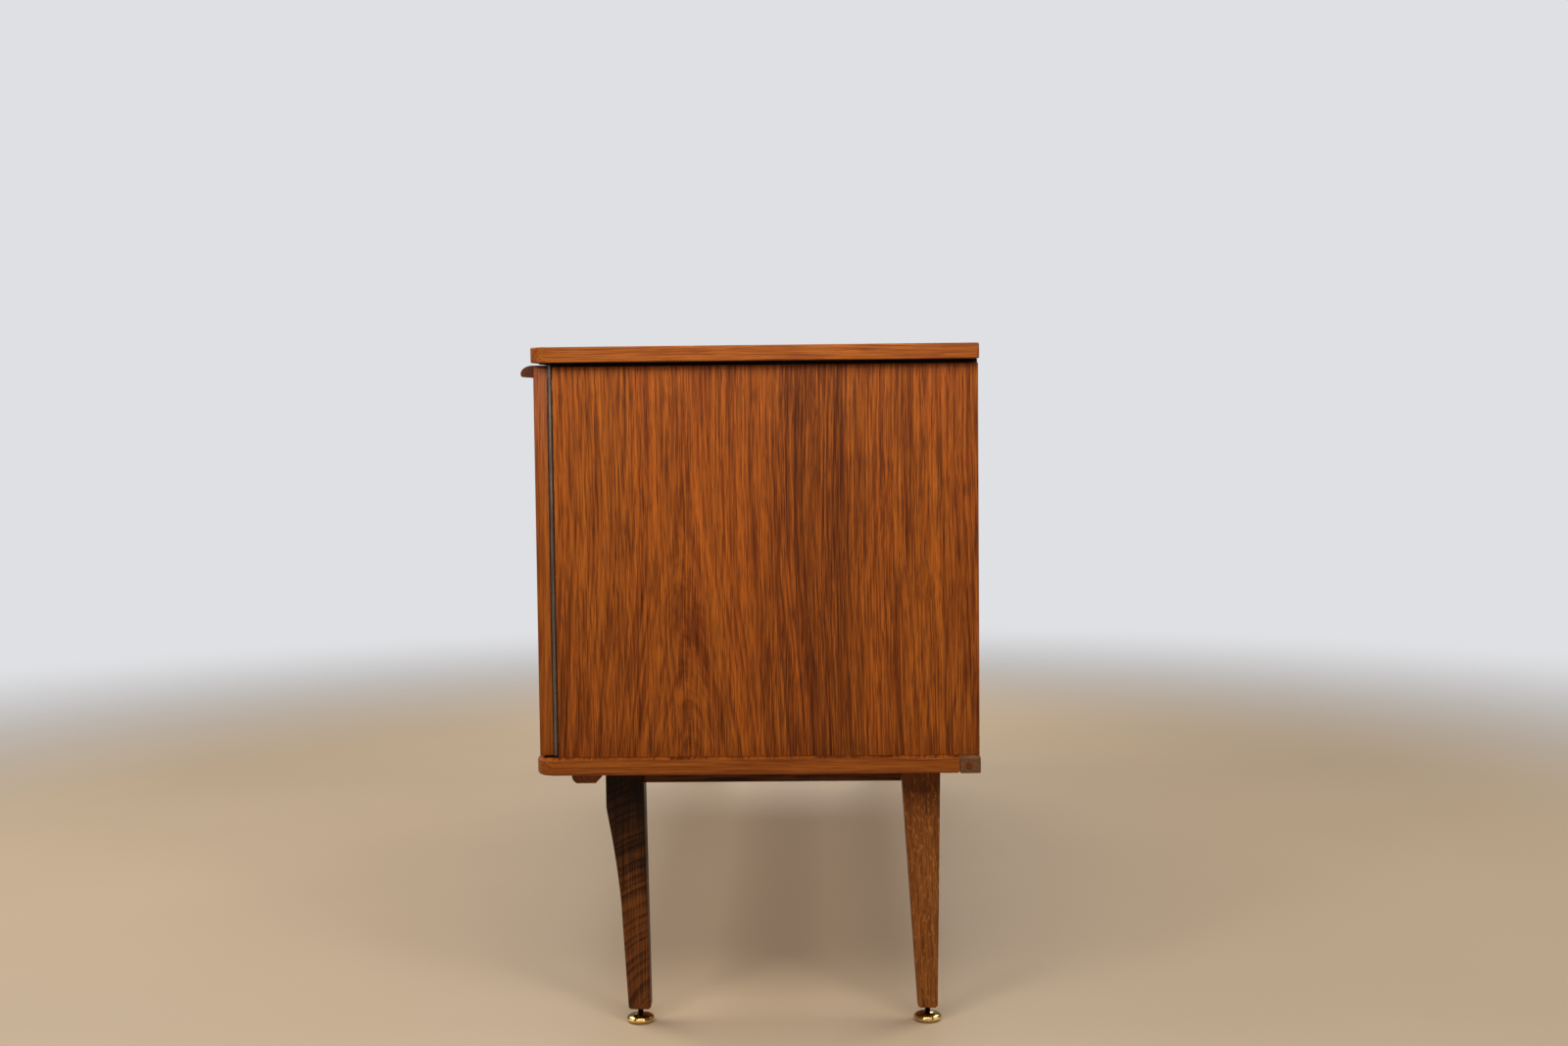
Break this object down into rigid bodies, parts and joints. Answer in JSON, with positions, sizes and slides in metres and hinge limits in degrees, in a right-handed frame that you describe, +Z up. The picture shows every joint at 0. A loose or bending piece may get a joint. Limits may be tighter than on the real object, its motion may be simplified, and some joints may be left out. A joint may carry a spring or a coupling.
{
  "type": "sideboard buffet",
  "caption": "Low teak-veneered sideboard with hinged cupboard doors at the ends, drawers in the middle, lip handles, tapered legs and brass levelling feet.",
  "frame": {"origin": "floor level, middle of the outline of the whole sideboard in plan", "axes": "+X along the length, to the right of a person facing the doors; +Y from the doors to the back; +Z up"},
  "size_m": [1.52, 0.473, 0.721],
  "materials": {
    "teak_veneer": "oiled satin",
    "teak_base": "oiled satin",
    "stained_lipping": "oiled satin",
    "plug_wood": "oiled satin",
    "afrormosia_handle": "oiled satin",
    "dark_leg_wood": "oiled satin",
    "interior_wood": "oiled satin",
    "drawer_wood": "oiled satin",
    "plywood": "oiled satin",
    "black_spacer": "matt",
    "magnet_case": "satin moulded",
    "hinge_steel": "rolled strip",
    "fastener_steel": "zinc plated",
    "polished_brass": "polished"
  },
  "bodies": {
    "carcass": {"top_board": "teak_veneer", "spacer_strips": "black_spacer", "carcass_top": "interior_wood", "base_board": "teak_base", "base_rear_lipping": "stained_lipping", "lipping_plugs": "plug_wood", "back_panel": "plywood", "carcass_dowels": "drawer_wood", "top_screws": "fastener_steel", "back_panel_screws": "fastener_steel", "frame_screws": "fastener_steel", "shelf_pins": "fastener_steel", "magnetic_catches": "magnet_case", "hinge_pins": "hinge_steel", "hinge_screws": "fastener_steel", "front_under_rail": "dark_leg_wood", "end_rails": "dark_leg_wood", "foot_sockets": "fastener_steel", "side_panel_right": "teak_veneer", "side_panel_left": "teak_veneer", "partition_right": "interior_wood", "partition_left": "interior_wood", "shelf_right": "interior_wood", "shelf_left": "interior_wood", "hinge_leaf_side_right": "hinge_steel", "hinge_leaf_side_left": "hinge_steel", "leg_front_right": "dark_leg_wood", "leg_front_left": "dark_leg_wood", "leg_rear_right": "dark_leg_wood", "leg_rear_left": "dark_leg_wood", "drawer_runners": "drawer_wood"},
    "door_right": {"door_right": "teak_veneer", "door_right_handle": "afrormosia_handle", "door_right_hinge_leaf": "hinge_steel", "door_right_catch_plate": "fastener_steel", "door_right_hinge_screws": "fastener_steel"},
    "door_left": {"door_left": "teak_veneer", "door_left_handle": "afrormosia_handle", "door_left_hinge_leaf": "hinge_steel", "door_left_catch_plate": "fastener_steel", "door_left_hinge_screws": "fastener_steel"},
    "drawer_lower": {"drawer_lower_front": "teak_veneer", "drawer_lower_handle": "afrormosia_handle", "drawer_lower_sides": "drawer_wood", "drawer_lower_back": "drawer_wood", "drawer_lower_bottom": "plywood"},
    "drawer_middle": {"drawer_middle_front": "teak_veneer", "drawer_middle_handle": "afrormosia_handle", "drawer_middle_sides": "drawer_wood", "drawer_middle_back": "drawer_wood", "drawer_middle_bottom": "plywood"},
    "drawer_upper": {"drawer_upper_front": "teak_veneer", "drawer_upper_handle": "afrormosia_handle", "drawer_upper_sides": "drawer_wood", "drawer_upper_back": "drawer_wood", "drawer_upper_bottom": "plywood"},
    "foot_front_right": {"foot_front_right": "polished_brass"},
    "foot_front_left": {"foot_front_left": "polished_brass"},
    "foot_rear_right": {"foot_rear_right": "polished_brass"},
    "foot_rear_left": {"foot_rear_left": "polished_brass"}
  },
  "joints": [
    {"name": "door_right_swing", "type": "hinge", "parent": "carcass", "child": "door_right", "pos_m": [0.744, -0.20675, 0.4988], "axis": [0, 0, 1], "range_deg": [0, 175]},
    {"name": "door_left_swing", "type": "hinge", "parent": "carcass", "child": "door_left", "pos_m": [-0.744, -0.20675, 0.4988], "axis": [0, 0, -1], "range_deg": [0, 175]},
    {"name": "drawer_lower_slide", "type": "slide", "parent": "carcass", "child": "drawer_lower", "axis": [0, -1, 0], "range_m": [0, 0.3]},
    {"name": "drawer_middle_slide", "type": "slide", "parent": "carcass", "child": "drawer_middle", "axis": [0, -1, 0], "range_m": [0, 0.3]},
    {"name": "drawer_upper_slide", "type": "slide", "parent": "carcass", "child": "drawer_upper", "axis": [0, -1, 0], "range_m": [0, 0.3]},
    {"name": "foot_front_right_height", "type": "slide", "parent": "carcass", "child": "foot_front_right", "axis": [0, 0, -1], "range_m": [0, 0.01]},
    {"name": "foot_front_left_height", "type": "slide", "parent": "carcass", "child": "foot_front_left", "axis": [0, 0, -1], "range_m": [0, 0.01]},
    {"name": "foot_rear_right_height", "type": "slide", "parent": "carcass", "child": "foot_rear_right", "axis": [0, 0, -1], "range_m": [0, 0.01]},
    {"name": "foot_rear_left_height", "type": "slide", "parent": "carcass", "child": "foot_rear_left", "axis": [0, 0, -1], "range_m": [0, 0.01]}
  ]
}
